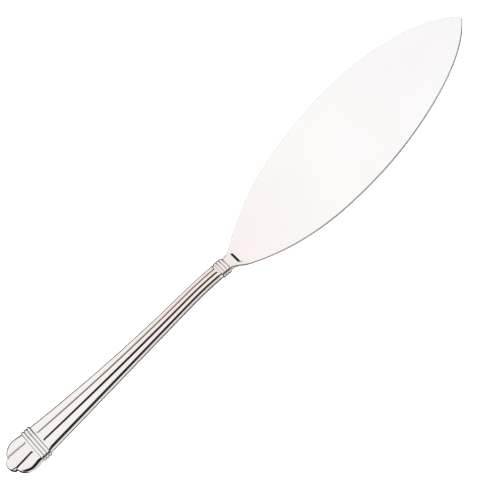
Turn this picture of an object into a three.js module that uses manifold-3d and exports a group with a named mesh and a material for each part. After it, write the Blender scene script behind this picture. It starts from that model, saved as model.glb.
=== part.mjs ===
// Fish serving knife: a flat leaf blade whose cranked neck ends in a tang, and a hollow fluted handle
// with a beaded ferrule at its mouth, a beaded band before its butt and a cap with three lobes.
// Millimetres, +Z up and +X towards the tip. The leaf lies flat on Z = 0 and the handle rises from it
// along a gentle curve. A place on the handle is given by its distance behind the ferrule's front face
// along that curve, its distance across, and its distance up from the seam between the two shells. A
// place on the blade is given by its distance from the ferrule.
import * as THREE from 'three';
import { mergeVertices } from 'three/addons/utils/BufferGeometryUtils.js';
import Module from 'manifold-3d';

const wasm = await Module();
wasm.setup();

// Fits
const jointGap = 0.1; // film of solder between two pieces of the handle
const cementGap = 0.1; // between the cement and what it holds
const overrun = 1; // how far a cutting solid runs past what it cuts

// Blade
const bladeLength = 156.2; // from the ferrule to the tip
const bladeWidth = 49;
const bladeThickness = 1.6;
const rimRound = 0.35;
const rimRoundBelow = 0.5; // of the under edge, all round the leaf and the neck
const widestFromFerrule = 83.2;
const tipHalf = 0.2; // half width of the blunted tip
const tipSlope = 1.2; // of the outline at the tip, across for each millimetre along
const backHandleShares = [0.117, 0.571]; // control points of the two leaf curves, as shares of each
const frontHandleShares = [0.384, 0.192];

// Heel, where the neck's hollow sides turn into the leaf
const heelLength = 6.6;
const heelWidth = 13;
const heelSlope = 0.65;
const heelHandleShares = [0.48, 0.2];

// Neck and the ridge that ends it
const neckWidth = 7;
const neckThickness = 2.7;
const neckEdge = 1;
const shoulderRound = 0.5; // of the neck's end against the ferrule
const ridgeLength = 4.45; // from the ferrule to the top of the ridge
const ridgeWidth = 4.9;
const ridgeStep = 1.15; // height of the ridge above the leaf
const ridgeRun = 1.25; // length of the ridge's slope
const ridgeFade = 3.2; // width over which the ridge runs out on each side
const ridgeSpreads = [0.6, 2.5]; // how much longer its slope gets there, back and forward
const crankStart = 8; // the crank begins this far before the ferrule

// Tang
const tangLength = 70;
const tangRootWidth = 3.4;
const tangRootThickness = 1.4;
const tangEndWidth = 2.2;
const tangEndThickness = 1.2;
const tangEdge = 0.3;

// Line of the handle: steep at the ferrule, lowest past the bend and steeper again at the butt
const axisHeight = 3.75; // of the seam at the ferrule, above the leaf's underside
const riseAtFerrule = THREE.MathUtils.degToRad(17.5);
const riseLowest = THREE.MathUtils.degToRad(4.3);
const riseAtButt = THREE.MathUtils.degToRad(12.4);
const bendLength = 27;
const axisSteps = 48;

// Pieces along the handle
const ferruleLength = 4.7;
const shellLength = 111.5;
const bandLength = 4.9;
const capLength = 14.6;

// Handle section: a face of three panels, a rounded corner and a steep side down to the seam
const cornerAtFerrule = 3.55; // half width at the corner
const cornerAtButt = 7.95;
const taperPower = 1.84; // the handle widens faster towards its butt
const heightAtFerrule = 2.3; // of the corner above the seam
const heightAtButt = 2.2;
const seamBulge = 0.1; // how far the seam stands out past the corner
const roundAtFerrule = 1.6;
const roundAtButt = 2.25;
const roundShareLimit = 0.8; // most rounding, as a share of the height
const hollowRoundShare = 0.33; // least rounding of a hollow's corners, as a share of the outer one
const endDrop = 0.4; // how much lower the faces are against the ferrule and the band
const endRun = 1.8;
const panelTilt = THREE.MathUtils.degToRad(10);
const shellWall = 0.7;

// Grooves: a wide wall on the middle panel's side and a narrow one on the other
const grooveAtFerrule = 1.1; // from the middle to the groove's own middle
const grooveAtButt = 2.5;
const grooveWidths = [1, 1.7, 1.15]; // at the ferrule, drawn towards in between, and at the butt
const grooveShape = [[0, 0], [0.4, 0.5], [0.8, 1], [1, 0]]; // shares of the width and of the depth
const grooveDepthShare = 0.45; // depth as a share of the width
const grooveFade = 0.9; // length of a groove's run-out
const grooveMargin = 0.4; // plain strip between a groove's end and the next piece

// Ferrule and band
const beadCount = 3;
const ferruleHalf = 3.7; // half width and height between the beads
const ferruleHeight = 1.5;
const ferruleRound = 1.4;
const ferruleBead = 0.45; // height of a bead
const ferruleSpigot = 2.5; // length that enters the shells
const bandHalf = 8.2;
const bandHeight = 1.45;
const bandRound = 1.5;
const bandBead = 0.7;

// Butt cap
const capFrontHalf = 8.4;
const capHalf = 9.05; // at its widest
const capFlareLength = 6;
const capDrop = 0.6; // how much lower its faces are at the end
const capGrooveAtFront = 2.7;
const capGrooveAtNotch = 3.4;
const lobeStart = 5; // from the cap's front face to where its sides turn in
const lobeRadius = 7; // of the two outer lobes
const notchHalf = 3.3; // from the middle to the notches between the lobes
const lobeRound = 1.2; // of the lobes' edges
const lobeRoundAt = 12; // where the sides' rounding has become the lobes'
const capRoundLimit = 0.95; // most rounding, as a share of the height
const capSpigot = 3; // length that enters the shells
const capSpigotWall = 0.5;
const capBore = 7; // depth of the cap's hollow

// Fineness of curved forms
const topSteps = 8;
const bottomSteps = 2;
const rimSteps = 2;
const neckSteps = 6;
const heelSteps = 3;
const leafSteps = 13;
const tangSteps = 5;
const cornerSteps = 4;
const bendSteps = 5;
const shellSteps = 7;
const fadeSteps = 2;
const beadSteps = 4;
const capPanelSteps = 2;
const capRows = 10;
const searchSteps = 30; // halvings or repeats when a place is searched for

// Places along the handle
const shellStart = ferruleLength + jointGap;
const shellEnd = shellStart + shellLength;
const bandStart = shellEnd + jointGap;
const bandEnd = bandStart + bandLength;
const capStart = bandEnd + jointGap;
const handleLength = capStart + capLength;

const silver = { color: 0xd9d8d6, metalness: 1, roughness: 0.12 };
const cement = { color: 0x6b5f52, metalness: 0, roughness: 0.9 };

const { lerp, clamp, smoothstep } = THREE.MathUtils;

function spread(from, to, steps) {
  return Array.from({ length: steps + 1 }, (_, k) => lerp(from, to, k / steps));
}

function rise(along) {
  const pastBend = clamp((along - bendLength) / (handleLength - bendLength), 0, 1);
  const beforeBend = 1 - smoothstep(along, 0, bendLength);
  return lerp(riseLowest, riseAtButt, pastBend) + (riseAtFerrule - riseLowest) * beforeBend;
}

// Point of the handle's axis, summed up in short steps from the ferrule.
function axisPoint(along) {
  const point = new THREE.Vector3(0, 0, axisHeight);
  const step = along / axisSteps;
  for (let k = 0; k < axisSteps; k += 1) {
    const slope = rise(step * (k + 0.5));
    point.x -= step * Math.cos(slope);
    point.z += step * Math.sin(slope);
  }
  return point;
}

// Stands a flat outline up across the handle's direction at a point.
function standUp(outline, centre, tilt) {
  const up = new THREE.Vector3(Math.sin(tilt), 0, Math.cos(tilt));
  const across = new THREE.Vector3(0, 1, 0);
  return outline.map((p) => centre.clone().addScaledVector(across, p.x).addScaledVector(up, p.y));
}

function ringOnAxis(along, outline) {
  return standUp(outline, axisPoint(along), rise(along));
}

// Joins rings of equally many points into one closed solid. The end rings are closed with a fan about
// their middle, or, where a ring is an outer line followed by an inner line back, with a strip.
function loft(rings, closeWithStrip = false) {
  const count = rings[0].length;
  const points = rings.flat();
  const faces = [];
  for (let r = 0; r + 1 < rings.length; r += 1) {
    for (let k = 0; k < count; k += 1) {
      const a = r * count + k;
      const b = r * count + ((k + 1) % count);
      faces.push([a, b, a + count], [b, b + count, a + count]);
    }
  }
  for (const end of [0, rings.length - 1]) {
    const first = end * count;
    const cap = [];
    if (closeWithStrip) {
      for (let k = 0; k + 1 < count / 2; k += 1) {
        const inner = count - 1 - k;
        cap.push([first + k, first + inner, first + k + 1]);
        cap.push([first + k + 1, first + inner, first + inner - 1]);
      }
    } else {
      const middle = new THREE.Vector3();
      rings[end].forEach((p) => middle.addScaledVector(p, 1 / count));
      points.push(middle);
      for (let k = 0; k < count; k += 1) {
        cap.push([points.length - 1, first + ((k + 1) % count), first + k]);
      }
    }
    faces.push(...(end === 0 ? cap : cap.map(([a, b, c]) => [a, c, b])));
  }
  return outward(points, faces);
}

// Makes a geometry whose faces point out, whichever way round its rings were drawn.
function outward(points, faces) {
  let volume = 0;
  for (const [a, b, c] of faces) {
    volume += points[a].dot(points[b].clone().cross(points[c]));
  }
  const turned = volume > 0 ? faces : faces.map(([a, b, c]) => [a, c, b]);
  const geometry = new THREE.BufferGeometry();
  geometry.setAttribute('position', new THREE.Float32BufferAttribute(points.flatMap((p) => p.toArray()), 3));
  geometry.setIndex(turned.flat());
  return geometry;
}

function toSolid(geometry) {
  const bare = geometry.clone();
  bare.deleteAttribute('normal');
  bare.deleteAttribute('uv');
  const merged = mergeVertices(bare);
  return new wasm.Manifold(new wasm.Mesh({
    numProp: 3,
    vertProperties: new Float32Array(merged.attributes.position.array),
    triVerts: new Uint32Array(merged.index.array),
  }));
}

function toGeometry(solid) {
  const mesh = solid.getMesh();
  const geometry = new THREE.BufferGeometry();
  geometry.setAttribute('position', new THREE.BufferAttribute(mesh.vertProperties, 3));
  geometry.setIndex(new THREE.BufferAttribute(mesh.triVerts, 1));
  return geometry;
}

// Arc of the given radius that rounds the corner between two straight lines.
function roundCorner(before, corner, after, radius) {
  const toBefore = before.clone().sub(corner).normalize();
  const toAfter = after.clone().sub(corner).normalize();
  const halfAngle = Math.acos(toBefore.dot(toAfter)) / 2;
  const inward = toBefore.clone().add(toAfter).normalize();
  const centre = corner.clone().addScaledVector(inward, radius / Math.sin(halfAngle));
  const start = corner.clone().addScaledVector(toBefore, radius / Math.tan(halfAngle)).sub(centre);
  const sweep = 2 * halfAngle - Math.PI;
  const points = [];
  for (let k = 0; k <= cornerSteps; k += 1) {
    points.push(start.clone().rotateAround(new THREE.Vector2(), (sweep * k) / cornerSteps).add(centre));
  }
  return points;
}

// Height of the handle's face without its grooves: level in the middle, falling outside the grooves.
function faceHeight(across, corner, height, place) {
  return height + (corner - Math.max(across, place)) * Math.tan(panelTilt);
}

// Upper line of a handle section, from the seam on one side over the face to the seam on the other.
function upperLine({ corner, height, bulge, round, place, groove, depth = 0, lift = 0 }) {
  const half = grooveShape.map(([share, dip]) => {
    const across = place + (share - 0.5) * groove;
    return new THREE.Vector2(across, faceHeight(across, corner, height, place) - depth * dip);
  });
  const seam = new THREE.Vector2(corner + bulge, lift);
  const edge = new THREE.Vector2(corner, height);
  half.push(...roundCorner(half[half.length - 1], edge, seam, round), seam);
  const mirrored = half.map((p) => new THREE.Vector2(-p.x, p.y));
  return [...half.reverse(), ...mirrored];
}

// Whole section: the upper line and its mirror image below the seam.
function fullSection(sizes) {
  const upper = upperLine(sizes);
  const lower = upper.slice(1, -1).map((p) => new THREE.Vector2(p.x, -p.y));
  return [...upper, ...lower.reverse()];
}

function grooveWidth(share) {
  const [front, middle, back] = grooveWidths;
  return lerp(lerp(front, middle, share), lerp(middle, back, share), share);
}

// Sizes of the handle's section at a distance behind the ferrule.
function handleSizes(along) {
  const share = clamp((along - shellStart) / shellLength, 0, 1);
  const fromEnd = Math.min(along - shellStart, shellEnd - along);
  const height = lerp(heightAtFerrule, heightAtButt, share) - endDrop * (1 - smoothstep(fromEnd, 0, endRun));
  return {
    corner: lerp(cornerAtFerrule, cornerAtButt, share ** taperPower),
    height,
    bulge: seamBulge,
    round: Math.min(lerp(roundAtFerrule, roundAtButt, share), height),
    place: lerp(grooveAtFerrule, grooveAtButt, share ** taperPower),
    groove: grooveWidth(share),
  };
}

// The same section made smaller all round, for hollows and for what fills them.
function shrink(sizes, by) {
  const height = sizes.height - by;
  const round = Math.max(sizes.round - by, sizes.round * hollowRoundShare);
  return { ...sizes, corner: sizes.corner - by, height, round: Math.min(round, height * roundShareLimit) };
}

function swell(sizes, by) {
  return { ...sizes, corner: sizes.corner + by, height: sizes.height + by, round: sizes.round + by };
}

// The grooves run out to nothing near the ends of a piece.
function grooveDepth(fromEnd, width) {
  return width * grooveDepthShare * smoothstep(fromEnd - grooveMargin, 0, grooveFade);
}

// Places from a piece's end inwards, close together where its groove and its end run out.
function endStations() {
  const fade = spread(grooveMargin, grooveMargin + grooveFade, fadeSteps);
  return [0, ...fade, grooveMargin + endRun];
}

// Stations of the shells: close together at the ends and in the bend, even in between.
function shellStations() {
  const ends = endStations();
  const front = ends.map((from) => shellStart + from);
  const back = ends.map((from) => shellEnd - from).reverse();
  const bend = spread(front[front.length - 1], bendLength, bendSteps).slice(1);
  const middle = spread(bendLength, back[0], shellSteps).slice(1, -1);
  return [...front, ...bend, ...middle, ...back];
}

// One half of the handle, above or below the seam.
function makeShell(side) {
  const rings = shellStations().map((along) => {
    const sizes = handleSizes(along);
    const depth = grooveDepth(Math.min(along - shellStart, shellEnd - along), sizes.groove);
    const outer = upperLine({ ...sizes, depth, lift: jointGap / 2 });
    const inner = upperLine({ ...shrink(sizes, shellWall), lift: jointGap / 2 });
    const ring = [...outer, ...inner.reverse()].map((p) => new THREE.Vector2(p.x, side * p.y));
    return ringOnAxis(along, ring);
  });
  return loft(rings, true);
}

// Bar that follows the handle's axis from one place to another, with the section of each place. It
// turns at the same stations as the shells.
function bar(from, to, sizesAt) {
  const between = shellStations().filter((along) => along > from && along < to);
  const rings = [from, ...between, to].map((along) => ringOnAxis(along, fullSection(sizesAt(along))));
  return toSolid(loft(rings));
}

// Turned beads side by side, each half-round along the handle.
function beadedBar(from, to, beadHeight, sizes) {
  const length = (to - from) / beadCount;
  const rings = [ringOnAxis(from, fullSection(sizes))];
  for (let bead = 0; bead < beadCount; bead += 1) {
    for (let k = 1; k <= beadSteps; k += 1) {
      const turn = (Math.PI * k) / beadSteps;
      const along = from + length * (bead + (1 - Math.cos(turn)) / 2);
      rings.push(ringOnAxis(along, fullSection(swell(sizes, beadHeight * Math.sin(turn)))));
    }
  }
  return toSolid(loft(rings));
}

// Height of the middle of the neck and the tang: level in the leaf, on the handle's axis in the handle.
function crankHeight(along) {
  if (along >= 0) return axisPoint(along).z;
  const share = clamp(along / crankStart + 1, 0, 1);
  const blend = share * share * (3 - 2 * share);
  const slope = (share ** 3 - share ** 2) * crankStart * Math.tan(riseAtFerrule);
  return lerp(bladeThickness / 2, axisHeight, blend) + slope;
}

// Section of the blade or the tang: over the top, round one rim, back along the bottom and up again.
// The roundings of the upper and the under rim are given by how far they reach across and up.
function bladeOutline({ half, topAt, bottom, rim: [rimAcross, rimUp], under: [underAcross, underUp] }) {
  const reach = half - rimAcross;
  const underReach = half - underAcross;
  const rim = [];
  for (let k = 1; k <= rimSteps; k += 1) {
    const turn = (Math.PI / 2) * (k / rimSteps);
    const out = reach + rimAcross * Math.sin(turn);
    rim.push(new THREE.Vector2(out, topAt(reach) - rimUp * (1 - Math.cos(turn))));
  }
  for (let k = 0; k < rimSteps; k += 1) {
    const turn = (Math.PI / 2) * (k / rimSteps);
    const out = underReach + underAcross * Math.cos(turn);
    rim.push(new THREE.Vector2(out, bottom + underUp * (1 - Math.sin(turn))));
  }
  const otherRim = rim.map((p) => new THREE.Vector2(-p.x, p.y)).reverse();
  const top = spread(-reach, reach, topSteps).map((across) => new THREE.Vector2(across, topAt(across)));
  const back = spread(underReach, -underReach, bottomSteps);
  return [...top, ...rim, ...back.map((across) => new THREE.Vector2(across, bottom)), ...otherRim];
}

// Side line of the blade as distance along and across: the hollow heel, then the leaf's two curves,
// which meet at its widest place.
function sideCurves() {
  const [heelFirst, heelSecond] = heelHandleShares;
  const half = bladeWidth / 2;
  const back = widestFromFerrule - heelLength;
  const front = bladeLength - widestFromFerrule;
  const backHandle = back * backHandleShares[0];
  const tipHandle = front * frontHandleShares[1];
  const heelHandle = heelLength * heelSecond;
  const neckEnd = new THREE.Vector2(0, neckWidth / 2);
  const heelEnd = new THREE.Vector2(heelLength, heelWidth / 2);
  const widest = new THREE.Vector2(widestFromFerrule, half);
  const tip = new THREE.Vector2(bladeLength, tipHalf);
  return [
    new THREE.CubicBezierCurve(
      neckEnd,
      new THREE.Vector2(heelLength * heelFirst, neckWidth / 2),
      new THREE.Vector2(heelLength - heelHandle, heelWidth / 2 - heelHandle * heelSlope),
      heelEnd,
    ),
    new THREE.CubicBezierCurve(
      heelEnd,
      new THREE.Vector2(heelEnd.x + backHandle, heelEnd.y + backHandle * heelSlope),
      new THREE.Vector2(widest.x - back * backHandleShares[1], half),
      widest,
    ),
    new THREE.CubicBezierCurve(
      widest,
      new THREE.Vector2(widest.x + front * frontHandleShares[0], half),
      new THREE.Vector2(tip.x - tipHandle, tipHalf + tipHandle * tipSlope),
      tip,
    ),
  ];
}

const [heelCurve, wideningCurve, narrowingCurve] = sideCurves();

// Half width of the blade at a distance from the ferrule, found on its side line by halving.
function halfWidth(distance) {
  let curve = narrowingCurve;
  if (distance < widestFromFerrule) curve = wideningCurve;
  if (distance < heelLength) curve = heelCurve;
  let low = 0;
  let high = 1;
  for (let k = 0; k < searchSteps; k += 1) {
    const middle = (low + high) / 2;
    if (curve.getPoint(middle).x < distance) low = middle;
    else high = middle;
  }
  return curve.getPoint(low).y;
}

// Height of the blade's upper face: the neck's top, the ridge that ends it, and the flat leaf.
function bladeTop(distance, across) {
  const towardsRidge = Math.min(distance / ridgeLength, 1);
  const ridgeTop = bladeThickness + ridgeStep;
  const neck = lerp(crankHeight(-distance) + neckThickness / 2, ridgeTop, towardsRidge ** 2);
  const aside = smoothstep(Math.abs(across), ridgeWidth / 2, ridgeWidth / 2 + ridgeFade);
  const [back, forward] = ridgeSpreads.map((length) => length * aside);
  const down = clamp((distance - ridgeLength + back) / (ridgeRun + back + forward), 0, 1);
  const intoShoulder = Math.max(shoulderRound + jointGap - distance, 0);
  const rounding = shoulderRound - Math.sqrt(shoulderRound ** 2 - Math.min(intoShoulder, shoulderRound) ** 2);
  return lerp(neck, bladeThickness, down) - rounding;
}

function bladeBottom(distance) {
  const share = clamp(1 - distance / crankStart, 0, 1);
  return (axisHeight - neckThickness / 2) * share * share * (3 - 2 * share);
}

// Section of the blade at a distance from the ferrule. The rim keeps its rounding where the side line
// runs at a slant, and the section leans over with the crank.
function bladeRing(distance) {
  const half = halfWidth(distance);
  const step = rimRound / 2;
  const slant = (halfWidth(distance + step) - halfWidth(distance - step)) / (2 * step);
  const edge = lerp(neckEdge, rimRound, smoothstep(distance, 0, heelLength));
  const rimSize = (round) => [Math.min(round * Math.hypot(1, slant), half * roundShareLimit), round];
  const centre = crankHeight(-distance);
  const outline = bladeOutline({
    half,
    topAt: (across) => bladeTop(distance, across) - centre,
    bottom: bladeBottom(distance) - centre,
    rim: rimSize(edge),
    under: rimSize(rimRoundBelow),
  });
  const tilt = riseAtFerrule * Math.max(0, 1 - distance / crankStart);
  return standUp(outline, new THREE.Vector3(distance, 0, centre), tilt);
}

function tangRing(along, spare = 0) {
  const share = clamp(along / tangLength, 0, 1);
  const high = lerp(tangRootThickness, tangEndThickness, share) / 2 + spare;
  const outline = bladeOutline({
    half: lerp(tangRootWidth, tangEndWidth, share) / 2 + spare,
    topAt: () => high,
    bottom: -high,
    rim: [tangEdge, tangEdge],
    under: [tangEdge, tangEdge],
  });
  const x = along > 0 ? axisPoint(along).x : -along;
  return standUp(outline, new THREE.Vector3(x, 0, crankHeight(along)), rise(along));
}

function tangStations(from, to) {
  const bend = spread(0, bendLength, tangSteps).slice(1);
  return [from, ...bend, (bendLength + to) / 2, to];
}

// Room for the tang in the pieces that it passes through.
function tangRoom() {
  const stations = tangStations(-overrun, tangLength + cementGap);
  return toSolid(loft(stations.map((along) => tangRing(along, cementGap))));
}

// The blade in one piece, from the tip over the leaf and the neck to the end of the tang.
function makeBlade() {
  const leaf = [wideningCurve, narrowingCurve].flatMap((curve) => (
    spread(0, 1, leafSteps).slice(1).map((share) => curve.getPoint(share).x)
  ));
  const distances = [
    jointGap,
    jointGap + shoulderRound / 2,
    ...spread(jointGap + shoulderRound, ridgeLength, neckSteps),
    ridgeLength + ridgeRun / 2,
    ...spread(ridgeLength + ridgeRun, crankStart, heelSteps),
    ...leaf.filter((distance) => distance > crankStart),
  ];
  const rings = distances.reverse().map(bladeRing);
  rings.push(...tangStations(-jointGap, tangLength).map((along) => tangRing(along)));
  return loft(rings);
}

// Sizes of the hollow of each piece of the handle and of the cement in it. The spigots fit the
// tightest section of the shells that they pass.
const shellHollow = (along) => shrink(handleSizes(along), shellWall);
const ferruleSpigotSizes = () => shrink(shellHollow(shellStart), jointGap);
const capSpigotSizes = () => {
  const { height } = shellHollow(shellEnd);
  return shrink({ ...shellHollow(shellEnd - capSpigot), height }, jointGap);
};
const capHollow = () => shrink(capSpigotSizes(), capSpigotWall);

function makeFerrule() {
  const sizes = {
    ...handleSizes(shellStart),
    corner: ferruleHalf,
    height: ferruleHeight,
    round: ferruleRound,
  };
  const beads = beadedBar(0, ferruleLength, ferruleBead, sizes);
  const spigot = bar(ferruleLength - overrun, shellStart + ferruleSpigot, ferruleSpigotSizes);
  return toGeometry(beads.add(spigot).subtract(tangRoom()));
}

function makeBand() {
  const sizes = { ...handleSizes(shellEnd), corner: bandHalf, height: bandHeight, round: bandRound };
  const beads = beadedBar(bandStart, bandEnd, bandBead, sizes);
  const bore = bar(bandStart - overrun, bandEnd + overrun, () => swell(capSpigotSizes(), jointGap));
  return toGeometry(beads.subtract(bore));
}

// Plan of the butt cap: its sides flare a little and turn in to two outer lobes, with a middle lobe
// between two notches.
const outerLobe = new THREE.Vector2(lobeStart, capHalf - lobeRadius);
const notch = new THREE.Vector2(
  lobeStart + Math.sqrt(lobeRadius ** 2 - (notchHalf - outerLobe.y) ** 2),
  notchHalf,
);
const middleReach = capLength - notch.x;
const middleRadius = (notchHalf ** 2 + middleReach ** 2) / (2 * middleReach);
const middleLobe = new THREE.Vector2(capLength - middleRadius, 0);

function capSide(along) {
  const share = clamp(along / capFlareLength, 0, 1);
  return lerp(capFrontHalf, capHalf, Math.sin((Math.PI / 2) * share));
}

// How far back the cap reaches at a distance from its middle.
function capReach(across) {
  const [lobe, radius] = across <= notchHalf ? [middleLobe, middleRadius] : [outerLobe, lobeRadius];
  return lobe.x + Math.sqrt(Math.max(radius ** 2 - (across - lobe.y) ** 2, 0));
}

// Distance in from the cap's side and lobes.
function capInside(along, across) {
  const fromSide = capSide(along) - across;
  if (along < lobeStart) return fromSide;
  let outer = lobeRadius - Math.hypot(along - outerLobe.x, across - outerLobe.y);
  const inner = middleRadius - Math.hypot(along - middleLobe.x, across);
  if (across < outerLobe.y && along < notch.x) outer = Math.max(outer, notch.x - along);
  const fromLobes = Math.max(outer, inner);
  return along < capFlareLength ? Math.min(fromSide, fromLobes) : fromLobes;
}

function capGroovePlace(along) {
  return lerp(capGrooveAtFront, capGrooveAtNotch, clamp(along / notch.x, 0, 1));
}

// The cap is straight: it goes on from the handle's end in its direction there.
function capRing(along, outline) {
  const tilt = rise(capStart);
  const back = new THREE.Vector3(-Math.cos(tilt), 0, Math.sin(tilt));
  return standUp(outline, axisPoint(capStart).addScaledVector(back, along), tilt);
}

// Height of the cap's face with its rounded edges, before the groove is sunk into it.
function capHeight(along, across) {
  const place = capGroovePlace(along);
  const top = faceHeight(across, cornerAtButt, heightAtButt, place)
    - (capDrop * along) / capLength
    - endDrop * (1 - smoothstep(along, 0, endRun));
  const round = lerp(roundAtButt, lobeRound, smoothstep(along, lobeStart, lobeRoundAt));
  const radius = Math.min(round, top * capRoundLimit);
  const inside = clamp(capInside(along, across), 0, radius);
  return top - radius + Math.sqrt(radius ** 2 - (radius - inside) ** 2);
}

// Points across half of the cap's face at one place: the middle panel, the groove, the outer panel
// and the rounding. Each has its distance across and its share of the groove's depth.
function capColumns(along) {
  const place = capGroovePlace(along);
  const width = grooveWidths[2];
  const side = capSide(along);
  const groove = grooveShape.map(([share, dip]) => [place + (share - 0.5) * width, dip]);
  const outerEdge = groove[groove.length - 1][0];
  const panel = spread(outerEdge, side - roundAtButt, capPanelSteps).slice(1);
  const rounding = spread(0, Math.PI / 2, cornerSteps).slice(1).map((turn) => (
    side - roundAtButt * (1 - Math.sin(turn))
  ));
  return [[0, 0], ...groove, ...[...panel, ...rounding].map((across) => [across, 0])];
}

// One point of the cap's upper face: its row is a share of the way back, its column a place across.
function capPoint(share, column) {
  let along = 0;
  for (let k = 0; k < searchSteps; k += 1) {
    along = capReach(capColumns(along)[column][0]) * share;
  }
  const [across, dip] = capColumns(along)[column];
  return { along, across, height: capHeight(along, across) - dip * grooveDepth(along, grooveWidths[2]) };
}

// The cap's body: an upper and a lower face over its plan, a narrow edge between them, and its front.
function capBody() {
  const columns = capColumns(0).length;
  const ends = endStations().map((from) => from / capLength);
  const rest = spread(0, 1, capRows).slice(1).map((share) => (
    lerp(ends[ends.length - 1], 1, Math.sin((Math.PI / 2) * share))
  ));
  const rows = [...ends, ...rest];
  const width = 2 * columns - 1;
  const points = [];
  for (const face of [1, -1]) {
    for (const share of rows) {
      for (let k = 1 - columns; k < columns; k += 1) {
        const { along, across, height } = capPoint(share, Math.abs(k));
        const flat = new THREE.Vector2(Math.sign(k) * across, face * height);
        points.push(capRing(along, [flat])[0]);
      }
    }
  }
  const faces = [];
  const quad = (a, b, c, d) => faces.push([a, b, c], [a, c, d]);
  const lower = rows.length * width;
  for (let row = 0; row + 1 < rows.length; row += 1) {
    for (let k = 0; k + 1 < width; k += 1) {
      const a = row * width + k;
      quad(a, a + 1, a + width + 1, a + width);
      quad(lower + a, lower + a + width, lower + a + width + 1, lower + a + 1);
    }
    const left = row * width;
    const right = left + width - 1;
    quad(left, left + width, lower + left + width, lower + left);
    quad(right, lower + right, lower + right + width, right + width);
  }
  const back = (rows.length - 1) * width;
  for (let k = 0; k + 1 < width; k += 1) {
    quad(k, lower + k, lower + k + 1, k + 1);
    quad(back + k, back + k + 1, lower + back + k + 1, lower + back + k);
  }
  return toSolid(outward(points, faces));
}

function makeCap() {
  const spigotStart = shellEnd - capSpigot;
  const spigot = bar(spigotStart, capStart + overrun, capSpigotSizes);
  const hollow = bar(spigotStart - overrun, capStart + capBore, capHollow);
  return toGeometry(capBody().add(spigot).subtract(hollow));
}

// The cement fills the hollows from the ferrule's spigot to the bottom of the cap's hollow.
function makeFiller() {
  const capSpigotStart = shellEnd - capSpigot;
  const inShells = (along) => shrink(shellHollow(along), cementGap);
  const inCap = () => shrink(capHollow(), cementGap);
  const middle = bar(shellStart + ferruleSpigot + cementGap, capSpigotStart - cementGap, inShells);
  const back = bar(capSpigotStart - overrun, capStart + capBore - cementGap, inCap);
  return toGeometry(middle.add(back).subtract(tangRoom()));
}

function makePiece(name, geometry, look) {
  const mesh = new THREE.Mesh(geometry, new THREE.MeshStandardMaterial(look));
  mesh.name = name;
  geometry.computeVertexNormals();
  return mesh;
}

const handle = new THREE.Group();
handle.add(
  makePiece('neck_ferrule', makeFerrule(), silver),
  makePiece('handle_front_shell', makeShell(1), silver),
  makePiece('handle_back_shell', makeShell(-1), silver),
  makePiece('butt_band', makeBand(), silver),
  makePiece('butt_cap', makeCap(), silver),
  makePiece('handle_filler', makeFiller(), cement),
);

const knife = new THREE.Group();
knife.add(makePiece('blade', makeBlade(), silver), handle);

// The part's origin is the middle of its footprint, on the surface that the leaf lies on.
const extent = new THREE.Box3().setFromObject(knife);
const middle = extent.getCenter(new THREE.Vector3());
knife.position.set(-middle.x, -middle.y, -extent.min.z);

export default knife;
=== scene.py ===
# Fish serving knife in a white studio. The metal pieces are rebuilt here with fine, smooth surfaces,
# and the cement keeps its CAD solid. The pieces have the CAD model's sizes, apart from the small
# differences that are named below. Sizes are in millimetres, except for the floor, lamp and camera,
# which are in metres. A place on the handle is given by its distance behind the ferrule's front face
# along the handle's line, its distance across and its distance up from the seam. A place on the blade
# is given by its distance from the ferrule's front face.
from math import acos, atan2, cos, hypot, pi, radians, sin, sqrt, tan

import bmesh
import bpy
from mathutils import Matrix, Vector


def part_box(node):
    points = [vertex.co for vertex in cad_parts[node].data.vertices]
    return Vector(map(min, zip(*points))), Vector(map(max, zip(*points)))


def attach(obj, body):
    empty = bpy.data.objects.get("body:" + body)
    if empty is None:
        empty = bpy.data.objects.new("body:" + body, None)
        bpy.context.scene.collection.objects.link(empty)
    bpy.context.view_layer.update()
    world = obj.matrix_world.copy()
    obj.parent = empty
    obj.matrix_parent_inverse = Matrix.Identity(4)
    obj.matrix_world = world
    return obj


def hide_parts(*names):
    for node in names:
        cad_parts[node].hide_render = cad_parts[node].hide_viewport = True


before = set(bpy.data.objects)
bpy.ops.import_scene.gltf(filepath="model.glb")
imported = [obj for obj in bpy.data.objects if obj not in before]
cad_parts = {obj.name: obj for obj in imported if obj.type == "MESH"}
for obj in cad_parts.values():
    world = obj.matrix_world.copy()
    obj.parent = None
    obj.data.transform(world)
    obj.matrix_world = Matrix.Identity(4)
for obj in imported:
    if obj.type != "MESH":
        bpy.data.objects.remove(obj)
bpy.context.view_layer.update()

MM = 0.001

# Leaf. Its outline follows the photograph, with its middle swayed to the far side and a round tip. The
# CAD model's leaf is 49 mm wide, alike on both sides, and ends in a blunt point. The upper rim is
# rounder than the CAD model's 0.35 mm, which gives its dark line the width that the photograph shows.
BLADE_LENGTH = 156.2
BLADE_WIDTH = 49.7
BLADE_THICKNESS = 1.6
RIM_ROUND = 0.55
RIM_ROUND_BELOW = 0.5
RIM_SHARE_LIMIT = 0.8
WIDEST = 80.8
TIP_SLOPE = 1.3
BACK_HANDLE_SHARES = (0.306, 0.38)
FRONT_HANDLE_SHARES = (0.3, 0.193)
LEAF_SWAY = 0.96
TIP_ROUND = 1.5
HEEL_LENGTH = 6.6
HEEL_WIDTH = 13
HEEL_SLOPE = 0.6165
HEEL_HANDLE_SHARES = (0.48, 0.2)

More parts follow.
